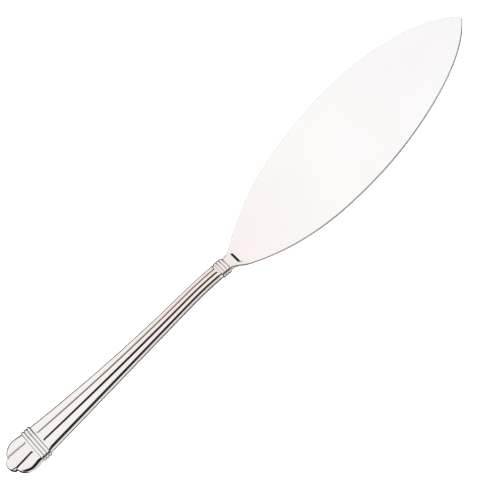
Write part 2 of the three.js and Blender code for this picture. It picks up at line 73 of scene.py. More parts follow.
# Neck and tang. The neck's shoulder at the ferrule is rounder than the CAD model's 0.5 mm, because the
# photograph has a dark line there.
NECK_WIDTH = 7
NECK_THICKNESS = 2.7
NECK_EDGE = 1
SHOULDER_ROUND = 0.75
RIDGE_LENGTH = 4.45
RIDGE_WIDTH = 4.9
RIDGE_STEP = 1.15
RIDGE_RUN = 1.25
RIDGE_FADE = 3.2
RIDGE_SPREADS = (0.6, 2.5)
CRANK_START = 8
TANG_LENGTH = 70
TANG_ROOT = (3.4, 1.4)
TANG_END = (2.2, 1.2)
TANG_EDGE = 0.3

# Handle's line
AXIS_HEIGHT = 3.75
RISE_AT_FERRULE = radians(17.5)
RISE_LOWEST = radians(4.3)
RISE_AT_BUTT = radians(12.4)
BEND_LENGTH = 27

# Handle's pieces along its line
JOINT_GAP = 0.1
FERRULE_LENGTH = 4.7
SHELL_LENGTH = 111.5
BAND_LENGTH = 4.9
CAP_LENGTH = 14.6

# Handle's section. The groove's walls are slightly smoothed, and the seam's gap is narrower than the
# 0.1 mm that the CAD model needs between its solids. A hollow's corners keep at least the outer
# rounding divided by HOLLOW_ROUND_DIVISOR.
CORNER_AT_FERRULE = 3.55
CORNER_AT_BUTT = 7.95
TAPER_POWER = 1.84
HEIGHT_AT_FERRULE = 2.3
HEIGHT_AT_BUTT = 2.2
SEAM_BULGE = 0.1
ROUND_AT_FERRULE = 1.6
ROUND_AT_BUTT = 2.25
END_DROP = 0.4
END_RUN = 1.8
PANEL_TILT = radians(10)
GROOVE_AT_FERRULE = 1.1
GROOVE_AT_BUTT = 2.5
GROOVE_WIDTHS = (1, 1.7, 1.15)
GROOVE_VALLEY_SHARE = 0.8
GROOVE_DEPTH_SHARE = 0.45
GROOVE_SMOOTH_SHARE = 0.06
GROOVE_FADE = 0.9
GROOVE_MARGIN = 0.4
SHELL_WALL = 0.7
HOLLOW_ROUND_DIVISOR = 3
SEAM_GAP = 0.03

# Ferrule and band
BEADS = 3
FERRULE_HALF = 3.7
FERRULE_HEIGHT = 1.5
FERRULE_BEAD = 0.45
FERRULE_ROUND = 1.4
FERRULE_WALL = 3.5
FERRULE_SPIGOT = 2.5
FERRULE_HOLE_SHARES = (0.55, 0.38)
BAND_HALF = 8.2
BAND_HEIGHT = 1.45
BAND_BEAD = 0.7
BAND_ROUND = 1.5
SPIGOT_WALL = 0.45

# Butt cap. It is closed here, without the hidden spigot and bore of the CAD model's cap.
CAP_HALF = 9.05
CAP_FRONT_HALF = 8.4
CAP_DROP = 0.6
CAP_FLARE_LENGTH = 6
LOBE_START = 5
LOBE_RADIUS = 7
NOTCH_HALF = 3.3
CAP_GROOVE_PLACES = (2.7, 3.4)
CAP_GROOVE_WIDTH = GROOVE_WIDTHS[2]
LOBE_ROUND = 1.2
LOBE_ROUND_REACHED = 12
CAP_ROUND_LIMIT = 0.95

# How finely the surfaces are divided. The margins and leads place a line of points just beside an
# edge, so that the flat face next to it is shaded flat.
MERGE_DISTANCE = 1e-7
SHARP_ANGLE = radians(32)
AXIS_STEPS = 48
PANEL_STOP_SHARE = 0.6
PANEL_MARGIN = 0.04
GROOVE_WALL_STEPS = (10, 5)
CORNER_STEPS = 12
CORNER_LEAD = 0.04
SEAM_LEAD = 0.05
SHELL_END_STEPS = 16
SHELL_MIDDLE_STEPS = 60
BEAD_STEPS = 14
CAP_ROWS = 40
CAP_ROW_EASE = 0.25
CAP_GROOVE_STEPS = 26
CAP_PANEL_STEPS = 8
CAP_EDGE_STEPS = 14
CAP_COLUMN_PASSES = 4
WIDTH_HALVINGS = 40
WIDTH_SLOPE_REACH = 0.005
ACROSS_TOP = 44
ACROSS_BOTTOM = 10
RIM_STEPS = 8
TIP_STRETCH = 0.6
TIP_STEPS = 15
TIP_OPENING = 0.01
TANG_STEPS = 20

# Tint of the silver along the knife: a distance from the ferrule's front face towards the tip, and
# the colour there. It is warm on the handle, warmest at the neck and nearly white on the leaf.
PLATE_TINTS = (
    (-134, (0.895, 0.86, 0.85)),
    (-112, (0.932, 0.897, 0.88)),
    (-60, (0.924, 0.865, 0.84)),
    (-6, (0.914, 0.81, 0.78)),
    (3, (0.9, 0.835, 0.815)),
    (9, (0.962, 0.895, 0.885)),
    (35, (0.958, 0.925, 0.91)),
    (80, (0.978, 0.96, 0.96)),
    (154, (0.942, 0.925, 0.932)),
)

# Silver's finish. A noise is given by its stretch along x, y and z, its scale and its detail, and a
# bump by its strength and its depth in metres. The marks are the fine lines of polishing.
CLOUD_NOISE = ((1, 1, 1), 28, 2)
CLOUD_STOPS = (0.35, 0.65)
CLOUD_TINT = (0.985, 0.975, 0.97, 1)
POLISH_NOISE = ((1, 1, 1), 160, 4)
POLISH_SPAN = (0.3, 0.7)
POLISH_ROUGHNESS = (0.05, 0.11)
MARK_NOISE = ((0.06, 1, 1), 9000, 4)
MARK_BUMP = (0.12, 0.00001)
WAVE_NOISE = ((1, 1, 1), 45, 1)
WAVE_BUMP = (0.1, 0.0002)
# Painted shade in the valleys between beads: the silver is darkened where ambient occlusion within
# this reach in millimetres finds it sheltered, over this span of occlusion, by this share at most.
VALLEY_SHADE_REACH = 0.9
VALLEY_SHADE_SPAN = (0.1, 0.5)
BEAD_VALLEY_SHADE = 0.92

# Cement and floor
CEMENT_NOISE = ((1, 1, 1), 900, 6)
CEMENT_DARK = (0.27, 0.23, 0.19, 1)
CEMENT_LIGHT = (0.45, 0.39, 0.33, 1)
CEMENT_BUMP = (0.5, 0.0002)
CEMENT_ROUGHNESS = 0.85
FLOOR_NOISE = ((1, 1, 1), 60, 3)
FLOOR_SHADES = (0.89, 0.91)
FLOOR_HALF = 15
FLOOR_HEIGHT = -0.0001

# Studio light by direction: x, y and z are the parts of a unit vector towards +X, +Y and +Z, and a
# span is where a smooth change starts and ends. The ceiling is white and starts higher at the back.
# It is dark in front, where the camera stands. A belt round the horizon is pale behind the middle of
# the knife. Below it a pale zone is dark straight down, far back and at the sides.
CEILING_SPAN = (0.1, 0.3)
BACK_RISE_SPAN = (0.5, 0.8)
BACK_RISE = 0.2
BELT_FLOOR_SPAN = (0.09, 0.035)
DARK_FRONT_SPAN = (-0.25, -0.5)
DARK_FRONT_MIDDLE = 0.1
DARK_FRONT_SIDES = (0.75, 0.92)
DARK_FRONT_SHARE = 0.985
BELT_SIDES = (0.5, 0.75)
BELT_GLOWS = (0.68, 0.015)
BELT_BACK_SPAN = (0, 0.3)
BELT_FRONT_SHARE = 0.04
DOWN_FROM_Y = 0.454
DOWN_FROM_Z = 0.891
DOWN_FROM_SIDES = 0.25
DOWN_SPAN = (0.524, 0.62)
LOW_BACK_SPAN = (0.6, 0.85)
LOW_SIDES = (0.55, 0.85)
LOW_DARK_SHARE = 0.03
LOW_FRONT_SPAN = (-0.97, -0.88)
LOW_FRONT_SHARE = 0.6

# Lamp and camera. The camera's tilt, lean, roll and distance were fitted to the photograph.
SOFTBOX_PLACE = (0.07, -0.55, 1.15)
SOFTBOX_TARGET = (0, 0, 0)
SOFTBOX_SIZE = 0.6
SOFTBOX_WATTS = 36
CAMERA_TILT = radians(25)
CAMERA_LEAN = radians(-3.833)
CAMERA_ROLL = radians(46.908)
CAMERA_DISTANCE = 0.7868
CAMERA_TARGET = Vector((0.00148, 0.0052, 0.0))
CAMERA_REACH = 60
IMAGE_SIDE = 480
FOCAL_PIXELS = 1700
SENSOR = 36

# Places that follow from the sizes
SHELL_START = FERRULE_LENGTH + JOINT_GAP
SHELL_END = SHELL_START + SHELL_LENGTH
BAND_START = SHELL_END + JOINT_GAP
BAND_END = BAND_START + BAND_LENGTH
CAP_START = BAND_END + JOINT_GAP
HANDLE_LENGTH = CAP_START + CAP_LENGTH
RIDGE_TOP = BLADE_THICKNESS + RIDGE_STEP
TIP_ANGLE = atan2(TIP_SLOPE, 1)
TIP_CENTRE = BLADE_LENGTH - TIP_ROUND / sin(TIP_ANGLE)
LEAF_END = TIP_CENTRE + TIP_ROUND

# Stretches of the blade: where each ends, and into how many steps it is divided.
BLADE_STRETCHES = ((0.5, 8), (8, 75), (20, 16), (148, 64), (LEAF_END - TIP_STRETCH, 16))

# The ferrule's front face in metres, from the CAD blade's tip.
FERRULE_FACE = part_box("blade")[1][0] - BLADE_LENGTH * MM


def lerp(a, b, share):
    return a + (b - a) * share


def clamp(value, low=0.0, high=1.0):
    return max(low, min(high, value))


def ease(share):
    return share * share * (3 - 2 * share)


def smoothstep(value, start, end):
    return ease(clamp((value - start) / (end - start)))


def spread(start, end, steps):
    return [lerp(start, end, k / steps) for k in range(steps + 1)]


# Meshes

def make_mesh(points, faces):
    mesh = bpy.data.meshes.new("surface")
    mesh.from_pydata([(FERRULE_FACE + x * MM, y * MM, z * MM) for x, y, z in points], [], faces)
    shape = bmesh.new()
    shape.from_mesh(mesh)
    bmesh.ops.remove_doubles(shape, verts=shape.verts, dist=MERGE_DISTANCE)
    bmesh.ops.recalc_face_normals(shape, faces=shape.faces)
    shape.to_mesh(mesh)
    shape.free()
    mesh.shade_smooth()
    mesh.set_sharp_from_angle(angle=SHARP_ANGLE)
    return mesh


def bridge(faces, first, second, count):
    """Faces between two rings, given by the numbers of their first points."""
    for k in range(count):
        n = (k + 1) % count
        faces.append((first + k, first + n, second + n, second + k))


def loft(rings, ends=True):
    """Closed surface through rings of equally many points, its ends capped or joined to each other."""
    count = len(rings[0])
    points = [p for ring in rings for p in ring]
    faces = []
    for r in range(len(rings) - 1):
        bridge(faces, r * count, (r + 1) * count, count)
    last = (len(rings) - 1) * count
    if ends:
        faces.append(tuple(range(count)))
        faces.append(tuple(range(last, last + count)))
    else:
        bridge(faces, last, 0, count)
    return points, faces


def add_piece(node, mesh, material):
    piece = bpy.data.objects.new(node + "_silver", mesh)
    bpy.context.scene.collection.objects.link(piece)
    mesh.materials.append(material)
    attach(piece, "root")
    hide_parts(node)


# The handle's line and section

def rise(along):
    """Slope of the handle's line: steep at the ferrule, lowest past the bend, steeper to the butt."""
    past_bend = clamp((along - BEND_LENGTH) / (HANDLE_LENGTH - BEND_LENGTH))
    before_bend = 1 - smoothstep(along, 0, BEND_LENGTH)
    return lerp(RISE_LOWEST, RISE_AT_BUTT, past_bend) + (RISE_AT_FERRULE - RISE_LOWEST) * before_bend


def axis_point(along):
    x, z = 0.0, AXIS_HEIGHT
    for k in range(AXIS_STEPS):
        slope = rise(along * (k + 0.5) / AXIS_STEPS)
        x -= cos(slope) * along / AXIS_STEPS
        z += sin(slope) * along / AXIS_STEPS
    return x, z


def stand_up(outline, x, z, tilt):
    return [(x + up * sin(tilt), across, z + up * cos(tilt)) for across, up in outline]


def ring_on_axis(along, outline):
    return stand_up(outline, *axis_point(along), rise(along))


def groove_width(share):
    front, middle, back = GROOVE_WIDTHS
    return lerp(lerp(front, middle, share), lerp(middle, back, share), share)


def handle_sizes(along):
    """Sizes of the handle's section at a distance along it."""
    share = clamp((along - SHELL_START) / SHELL_LENGTH)
    from_end = min(along - SHELL_START, SHELL_END - along)
    height = lerp(HEIGHT_AT_FERRULE, HEIGHT_AT_BUTT, share)
    height -= END_DROP * (1 - smoothstep(from_end, 0, END_RUN))
    return {
        "corner": lerp(CORNER_AT_FERRULE, CORNER_AT_BUTT, share ** TAPER_POWER),
        "height": height,
        "bulge": SEAM_BULGE,
        "rounding": min(lerp(ROUND_AT_FERRULE, ROUND_AT_BUTT, share), height),
        "place": lerp(GROOVE_AT_FERRULE, GROOVE_AT_BUTT, share ** TAPER_POWER),
        "groove": groove_width(share),
    }


def shrink(sizes, by):
    return {
        **sizes,
        "corner": sizes["corner"] - by,
        "height": sizes["height"] - by,
        "rounding": max(sizes["rounding"] - by, sizes["rounding"] / HOLLOW_ROUND_DIVISOR),
    }


def swell(sizes, by):
    return {
        **sizes,
        "corner": sizes["corner"] + by,
        "height": sizes["height"] + by,
        "rounding": sizes["rounding"] + by,
    }


def groove_stops(place, width):
    """Places across a groove, closer together where its walls turn."""
    inner, outer = place - width / 2, place + width / 2
    valley = lerp(inner, outer, GROOVE_VALLEY_SHARE)
    inner_steps, outer_steps = GROOVE_WALL_STEPS
    return spread(inner, valley, inner_steps) + spread(valley, outer, outer_steps)[1:]


def groove_dip(across, place, width):
    """Share of the groove's depth: a wide wall on the middle panel's side, a steep one outside."""
    share = (across - place) / width + 0.5
    if share <= 0 or share >= 1:
        return 0.0
    if share < GROOVE_VALLEY_SHARE:
        down = share / GROOVE_VALLEY_SHARE
    else:
        down = (1 - share) / (1 - GROOVE_VALLEY_SHARE)
    return lerp(down, ease(down), GROOVE_SMOOTH_SHARE)


def round_corner(before, corner, after, radius):
    """Points of an arc that rounds the corner between two neighbours."""
    to_before = (before - corner).normalized()
    to_after = (after - corner).normalized()
    half = acos(clamp(to_before.dot(to_after), -1, 1)) / 2
    centre = corner + (to_before + to_after).normalized() * (radius / sin(half))
    start = corner + to_before * (radius / tan(half)) - centre
    sweep = 2 * half - pi
    return [
        Matrix.Rotation(sweep * k / CORNER_STEPS, 2) @ start + centre for k in range(CORNER_STEPS + 1)
    ]


def face_height(across, corner, height, place):
    return height + (corner - max(across, place)) * tan(PANEL_TILT)


def upper_line(corner, height, bulge, rounding, place, groove, depth=0.0, lift=0.0):
    """Upper line of a section, from the seam on one side over the face to the seam on the other."""
    inner = place - groove / 2
    stops = [0, inner * PANEL_STOP_SHARE, inner - PANEL_MARGIN] + groove_stops(place, groove)
    half = []
    for across in stops:
        dip = depth * groove * GROOVE_DEPTH_SHARE * groove_dip(across, place, groove)
        half.append(Vector((across, face_height(across, corner, height, place) - dip)))
    seam = Vector((corner + bulge, lift))
    edge = Vector((corner, height))
    arc = round_corner(half[-1], edge, seam, rounding)
    half.append(arc[0].lerp(half[-1], CORNER_LEAD))
    half += arc
    half += [arc[-1].lerp(seam, SEAM_LEAD), seam]
    mirrored = [(-p.x, p.y) for p in half[1:]]
    return [(p.x, p.y) for p in reversed(half)] + mirrored


def full_section(**sizes):
    upper = upper_line(**sizes)
    lower = [(across, -up) for across, up in upper[1:-1]]
    return upper + lower[::-1]


# Handle shells

def shell_groove(along):
    """Share of the grooves' full depth: they run out before the shells' ends."""
    return smoothstep(min(along - SHELL_START, SHELL_END - along) - GROOVE_MARGIN, 0, GROOVE_FADE)


def shell_stations():
    """Distances of the shells' rings, close together where the grooves run out."""
    fade_start = SHELL_START + GROOVE_MARGIN
    fade_end = fade_start + (GROOVE_FADE + END_RUN)
    front = [SHELL_START] + spread(fade_start, fade_end, SHELL_END_STEPS)
    back = [SHELL_START + SHELL_END - along for along in reversed(front)]
    return front + spread(front[-1], back[0], SHELL_MIDDLE_STEPS)[1:-1] + back


def make_shell(side):
    """One half of the handle: side is 1 for the upper half and -1 for the lower one."""
    rings = []
    for along in shell_stations():
        sizes = handle_sizes(along)
        outer = upper_line(**sizes, depth=shell_groove(along), lift=SEAM_GAP / 2)
        inner = upper_line(**shrink(sizes, SHELL_WALL), lift=SEAM_GAP / 2)
        rings.append(ring_on_axis(along, [(across, side * up) for across, up in outer + inner[::-1]]))
    points, faces = loft(rings)
    count = len(rings[0])
    faces = faces[:-2]
    for first in (0, (len(rings) - 1) * count):
        for k in range(count // 2 - 1):
            inner = count - 1 - k
            faces.append((first + k, first + k + 1, first + inner - 1, first + inner))
    return make_mesh(points, faces)


# Ferrule and band

def shell_hollow(along):
    return shrink(handle_sizes(along), SHELL_WALL)


def beaded_rings(start, end, bead, sizes):
    """Rings over turned beads: half-round in profile, with sharp valleys between them."""
    rings = []
    length = (end - start) / BEADS
    for b in range(BEADS):
        for k in range(BEAD_STEPS + 1):
            turn = pi * k / BEAD_STEPS
            along = start + length * (b + (1 - cos(turn)) / 2)
            rings.append(ring_on_axis(along, full_section(**swell(sizes, bead * sin(turn)))))
    return rings


def make_ferrule():
    sizes = {
        **handle_sizes(SHELL_START),
        "corner": FERRULE_HALF,
        "height": FERRULE_HEIGHT,
        "rounding": FERRULE_ROUND,
    }
    spigot_end = SHELL_START + FERRULE_SPIGOT
    outer = shrink(shell_hollow(SHELL_START), JOINT_GAP)
    inner = shrink(outer, SPIGOT_WALL)
    wide, high = FERRULE_HOLE_SHARES
    hole = [(across * wide, up * high) for across, up in full_section(**handle_sizes(0))]
    rings = [ring_on_axis(0, hole)]
    rings += beaded_rings(0, FERRULE_LENGTH, FERRULE_BEAD, sizes)
    rings += [ring_on_axis(along, full_section(**outer)) for along in (FERRULE_LENGTH, spigot_end)]
    rings += [ring_on_axis(along, full_section(**inner)) for along in (spigot_end, FERRULE_WALL)]
    rings.append(ring_on_axis(FERRULE_WALL, hole))
    return make_mesh(*loft(rings, ends=False))


def make_band():
    """The band's bore leaves a gap round the spigot that the cap has in the CAD model."""
    spigot = shrink(shell_hollow(SHELL_END), JOINT_GAP)
    bore = full_section(**swell(spigot, JOINT_GAP))
    sizes = {
        **handle_sizes(SHELL_END),
        "corner": BAND_HALF,
        "height": BAND_HEIGHT,
        "rounding": BAND_ROUND,
    }
    rings = beaded_rings(BAND_START, BAND_END, BAND_BEAD, sizes)
    rings += [ring_on_axis(along, bore) for along in (BAND_END, BAND_START)]
    return make_mesh(*loft(rings, ends=False))


# Butt cap. Its distances along are from its own front face.

def lobe_lines():
    """Centre of the outer lobe, the notch, and the centre and radius of the middle lobe."""
    centre = Vector((LOBE_START, CAP_HALF - LOBE_RADIUS))
    notch_reach = sqrt(LOBE_RADIUS ** 2 - (NOTCH_HALF - centre.y) ** 2)
    notch = Vector((LOBE_START + notch_reach, NOTCH_HALF))
    reach = CAP_LENGTH - notch.x
    radius = (NOTCH_HALF ** 2 + reach ** 2) / (2 * reach)
    return centre, notch, Vector((CAP_LENGTH - radius, 0)), radius


CENTRE, NOTCH, MIDDLE, MIDDLE_RADIUS = lobe_lines()


def cap_side(along):
    return lerp(CAP_FRONT_HALF, CAP_HALF, sin(pi / 2 * clamp(along / CAP_FLARE_LENGTH)))


def cap_reach(across):
    """How far back the cap reaches at a distance from its middle."""
    across = abs(across)
    if across <= NOTCH_HALF:
        return MIDDLE.x + sqrt(max(MIDDLE_RADIUS ** 2 - across ** 2, 0))
    return CENTRE.x + sqrt(max(LOBE_RADIUS ** 2 - (across - CENTRE.y) ** 2, 0))


def cap_inside(along, across):
    """Distance in from the cap's side and lobes."""
    across = abs(across)
    side = cap_side(along) - across
    if along < LOBE_START:
        return side
    outer = LOBE_RADIUS - hypot(along - CENTRE.x, across - CENTRE.y)
    inner = MIDDLE_RADIUS - hypot(along - MIDDLE.x, across)
    if across < CENTRE.y and along < NOTCH.x:
        outer = max(outer, NOTCH.x - along)
    return min(side, max(outer, inner)) if along < CAP_FLARE_LENGTH else max(outer, inner)


def cap_groove_place(along):
    return lerp(*CAP_GROOVE_PLACES, clamp(along / NOTCH.x))


def cap_height(along, across):
    """Height of the cap's face over the seam, or its depth below it."""
    across = abs(across)
    place = cap_groove_place(along)
    fade = smoothstep(along - GROOVE_MARGIN, 0, GROOVE_FADE)
    depth = CAP_GROOVE_WIDTH * GROOVE_DEPTH_SHARE * fade
    top = face_height(across, CORNER_AT_BUTT, HEIGHT_AT_BUTT, place) - CAP_DROP * along / CAP_LENGTH
    top -= END_DROP * (1 - smoothstep(along, 0, END_RUN))
    lobe_share = smoothstep(along, LOBE_START, LOBE_ROUND_REACHED)
    radius = min(lerp(ROUND_AT_BUTT, LOBE_ROUND, lobe_share), top * CAP_ROUND_LIMIT)
    top -= depth * groove_dip(across, place, CAP_GROOVE_WIDTH)
    inside = clamp(cap_inside(along, across), 0, radius)
    return top - radius + sqrt(radius ** 2 - (radius - inside) ** 2)


def cap_columns():
    """Places across the cap's front, close together in the grooves and towards the edges."""
    inner = CAP_GROOVE_PLACES[0] - CAP_GROOVE_WIDTH / 2
    outer = CAP_GROOVE_PLACES[1] + CAP_GROOVE_WIDTH / 2
    half = [0, inner * PANEL_STOP_SHARE, inner - PANEL_MARGIN]
    half += spread(inner, outer, CAP_GROOVE_STEPS)
    half += spread(outer, CAP_FRONT_HALF - ROUND_AT_BUTT, CAP_PANEL_STEPS)[1:]
    for k in range(1, CAP_EDGE_STEPS + 1):
        half.append(CAP_FRONT_HALF - ROUND_AT_BUTT * (1 - sin(pi / 2 * k / CAP_EDGE_STEPS)))
    return [-y for y in reversed(half[1:])] + half


def cap_point(share, column, side):
    """Point of the cap at a share of its length, on a column that spreads with the cap's sides."""
    share = (1 - CAP_ROW_EASE) * share + CAP_ROW_EASE * sin(pi / 2 * share)
    across = column
    for _ in range(CAP_COLUMN_PASSES):
        along = cap_reach(across) * share
        across = column * cap_side(along) / CAP_FRONT_HALF
    x, z = axis_point(CAP_START)
    tilt = rise(CAP_START)
    up = side * cap_height(along, across)
    return (
        x - along * cos(tilt) + up * sin(tilt),
        across,
        z + along * sin(tilt) + up * cos(tilt),
    )


def make_cap():
    """An upper and a lower grid of points, joined by a wall round the edge and closed at the front."""
    columns = cap_columns()
    width = len(columns)
    points = []
    faces = []
    for side in (1, -1):
        base = len(points)
        for i in range(CAP_ROWS + 1):
            points += [cap_point(i / CAP_ROWS, column, side) for column in columns]
        for i in range(CAP_ROWS):
            for j in range(width - 1):
                a = base + i * width + j
                faces.append((a, a + 1, a + width + 1, a + width))
    lower = (CAP_ROWS + 1) * width
    rim = [i * width for i in range(CAP_ROWS + 1)]
    rim += [CAP_ROWS * width + j for j in range(1, width)]
    rim += [i * width + width - 1 for i in range(CAP_ROWS - 1, -1, -1)]
    for a, b in zip(rim, rim[1:]):
        faces.append((a, b, b + lower, a + lower))
    faces.append(tuple(range(width)) + tuple(lower + j for j in reversed(range(width))))
    return make_mesh(points, faces)


# Blade

def bezier(points, share):
    a, b, c, d = points
    left = 1 - share
    return tuple(
        left ** 3 * a[k] + 3 * left ** 2 * share * b[k]
        + 3 * left * share ** 2 * c[k] + share ** 3 * d[k]
        for k in (0, 1)
    )


def side_curves():
    """Curves of the blade's side: from the neck to the heel, to the widest place and to the tip."""
    first, second = HEEL_HANDLE_SHARES
    half = BLADE_WIDTH / 2
    back = WIDEST - HEEL_LENGTH
    front = BLADE_LENGTH - WIDEST
    start_handle = back * BACK_HANDLE_SHARES[0]
    tip_handle = front * FRONT_HANDLE_SHARES[1]
    heel = (
        (0, NECK_WIDTH / 2),
        (HEEL_LENGTH * first, NECK_WIDTH / 2),
        (HEEL_LENGTH * (1 - second), HEEL_WIDTH / 2 - HEEL_LENGTH * second * HEEL_SLOPE),
        (HEEL_LENGTH, HEEL_WIDTH / 2),
    )
    widening = (
        heel[3],
        (HEEL_LENGTH + start_handle, HEEL_WIDTH / 2 + start_handle * HEEL_SLOPE),
        (WIDEST - back * BACK_HANDLE_SHARES[1], half),
        (WIDEST, half),
    )
    narrowing = (
        widening[3],
        (WIDEST + front * FRONT_HANDLE_SHARES[0], half),
        (BLADE_LENGTH - tip_handle, tip_handle * TIP_SLOPE),
        (BLADE_LENGTH, 0),
    )
    return heel, widening, narrowing


def half_width(distance):
    """Half width of the blade at a distance from the ferrule. A small round ends the tip."""
    if distance > TIP_CENTRE + TIP_ROUND * sin(TIP_ANGLE):
        return sqrt(max(TIP_ROUND ** 2 - (distance - TIP_CENTRE) ** 2, 0))
    for curve in side_curves():
        if distance <= curve[3][0]:
            break
    low, high = 0.0, 1.0
    for _ in range(WIDTH_HALVINGS):
        share = (low + high) / 2
        if bezier(curve, share)[0] < distance:
            low = share
        else:
            high = share
    return bezier(curve, (low + high) / 2)[1]


def leaf_sway(distance):
    """How far the middle of the leaf stands to its far side, as the photograph's two edges show."""
    share = clamp((distance - HEEL_LENGTH) / (BLADE_LENGTH - HEEL_LENGTH))
    return LEAF_SWAY * sin(pi * share ** 2)


def crank_height(along):
    """Height of the middle of the neck and the tang: level in the leaf, on the axis in the handle."""
    if along >= 0:
        return axis_point(along)[1]
    share = clamp(along / CRANK_START + 1)
    slope = (share ** 3 - share ** 2) * CRANK_START * tan(RISE_AT_FERRULE)
    return lerp(BLADE_THICKNESS / 2, AXIS_HEIGHT, ease(share)) + slope


def blade_top(distance, across):
    """Height of the upper face: the neck's top, the ridge that ends it, and the flat leaf."""
    share = min(distance / RIDGE_LENGTH, 1.0)
    neck = lerp(crank_height(-distance) + NECK_THICKNESS / 2, RIDGE_TOP, share * share)
    away = smoothstep(abs(across), RIDGE_WIDTH / 2, RIDGE_WIDTH / 2 + RIDGE_FADE)
    start = RIDGE_LENGTH - RIDGE_SPREADS[0] * away
    end = RIDGE_LENGTH + RIDGE_RUN + RIDGE_SPREADS[1] * away
    share = clamp((distance - start) / (end - start))
    before_flat = max(SHOULDER_ROUND + JOINT_GAP - distance, 0)
    shoulder = SHOULDER_ROUND - sqrt(max(SHOULDER_ROUND ** 2 - before_flat ** 2, 0))
    return lerp(neck, BLADE_THICKNESS, share) - shoulder


def blade_bottom(distance):
    share = clamp(1 - distance / CRANK_START)
    return max(0.0, lerp(0, crank_height(0) - NECK_THICKNESS / 2, ease(share)))


def blade_outline(half, top, bottom, rim, under):
    """Ring round a section of the blade: over the top, round one rim, along the bottom and back. The
    roundings of the upper and the under rim are given by how far they reach across and up."""
    rim_across, rim_up = rim
    under_across, under_up = under
    right = half - rim_across
    under_right = half - under_across
    ring = [(y, top(y)) for y in spread(-right, right, ACROSS_TOP)]
    for k in range(1, RIM_STEPS):
        turn = pi / 2 * k / RIM_STEPS
        ring.append((right + rim_across * sin(turn), top(right) - rim_up * (1 - cos(turn))))
    ring += [(half, top(right) - rim_up), (half, bottom + under_up)]
    for k in range(1, RIM_STEPS):
        turn = pi / 2 * k / RIM_STEPS
        ring.append((under_right + under_across * cos(turn), bottom + under_up * (1 - sin(turn))))
    ring += [(y, bottom) for y in spread(under_right, -under_right, ACROSS_BOTTOM)]
    lower = [(-y, z) for y, z in ring[ACROSS_TOP + 1:ACROSS_TOP + 1 + 2 * RIM_STEPS]]
    return ring + lower[::-1]


def blade_stations():
    """Distances of the blade's rings, close together at the ferrule, on the neck and at the tip."""
    stations = [JOINT_GAP]
    start = JOINT_GAP
    for end, steps in BLADE_STRETCHES:
        stations += spread(start, end, steps)[1:]
        start = end
    for k in range(1, TIP_STEPS + 1):
        stations.append(lerp(start, LEAF_END - TIP_OPENING, sin(pi / 2 * k / TIP_STEPS)))
    return stations


def blade_ring(distance):
    half = half_width(distance)
    ahead = half_width(distance + WIDTH_SLOPE_REACH)
    behind = half_width(distance - WIDTH_SLOPE_REACH)
    stretch = hypot(1, (ahead - behind) / (2 * WIDTH_SLOPE_REACH))
    edge = lerp(NECK_EDGE, RIM_ROUND, smoothstep(distance, 0, HEEL_LENGTH))
    limit = half * RIM_SHARE_LIMIT
    rim = (min(edge * stretch, limit), edge)
    under = (min(RIM_ROUND_BELOW * stretch, limit), RIM_ROUND_BELOW)
    tilt = RISE_AT_FERRULE * max(0.0, 1 - distance / CRANK_START)
    centre = crank_height(-distance)
    bottom = blade_bottom(distance) - centre
    outline = blade_outline(half, lambda y: blade_top(distance, y) - centre, bottom, rim, under)
    sway = leaf_sway(distance)
    return [(x, y + sway, z) for x, y, z in stand_up(outline, distance, centre, tilt)]


def tang_ring(along):
    share = clamp(along / TANG_LENGTH)
    half = lerp(TANG_ROOT[0], TANG_END[0], share) / 2
    high = lerp(TANG_ROOT[1], TANG_END[1], share) / 2
    edge = (TANG_EDGE, TANG_EDGE)
    x = axis_point(along)[0] if along > 0 else -along
    outline = blade_outline(half, lambda y: high, -high, edge, edge)
    return stand_up(outline, x, crank_height(along), rise(max(along, 0)))


def make_blade():
    """The blade from its tip to the ferrule, and the tang on through the handle."""
    rings = [blade_ring(distance) for distance in reversed(blade_stations())]
    rings += [tang_ring(along) for along in spread(-JOINT_GAP, TANG_LENGTH, TANG_STEPS)]
    return make_mesh(*loft(rings))


# Materials

def node_material(name):
    material = bpy.data.materials.new(name)
    material.use_nodes = True
    tree = material.node_tree
    return material, tree, tree.nodes["Principled BSDF"]


def add_node(tree, kind, inputs=None, **settings):
    node = tree.nodes.new(kind)
    for key, value in settings.items():
        setattr(node, key, value)
    for key, value in (inputs or {}).items():
        node.inputs[key].default_value = value
    return node


def object_place(tree):
    return tree.nodes.new("ShaderNodeTexCoord").outputs["Object"]


def noise_from(tree, place, stretch, scale, detail):
    mapping = add_node(tree, "ShaderNodeMapping", {"Scale": stretch})
    noise = add_node(tree, "ShaderNodeTexNoise", {"Scale": scale, "Detail": detail})
    tree.links.new(place, mapping.inputs["Vector"])
    tree.links.new(mapping.outputs["Vector"], noise.inputs["Vector"])
    return noise.outputs["Fac"]


def map_range(tree, source, span, low=0.0, high=1.0, **settings):
    node = add_node(tree, "ShaderNodeMapRange", {
        "From Min": span[0], "From Max": span[1], "To Min": low, "To Max": high,
    }, **settings)
    tree.links.new(source, node.inputs["Value"])
    return node.outputs["Result"]


def bump(tree, height, strength, depth):
    node = add_node(tree, "ShaderNodeBump", {"Strength": strength, "Distance": depth})
    tree.links.new(height, node.inputs["Height"])
    return node


def multiply(tree, first, second):
    """Two colours multiplied. The Mix node's colours are its inputs 6 and 7 and its output 2."""
    node = add_node(tree, "ShaderNodeMix", data_type="RGBA", blend_type="MULTIPLY")
    node.inputs[0].default_value = 1.0
    tree.links.new(first, node.inputs[6])
    tree.links.new(second, node.inputs[7])
    return node.outputs[2]


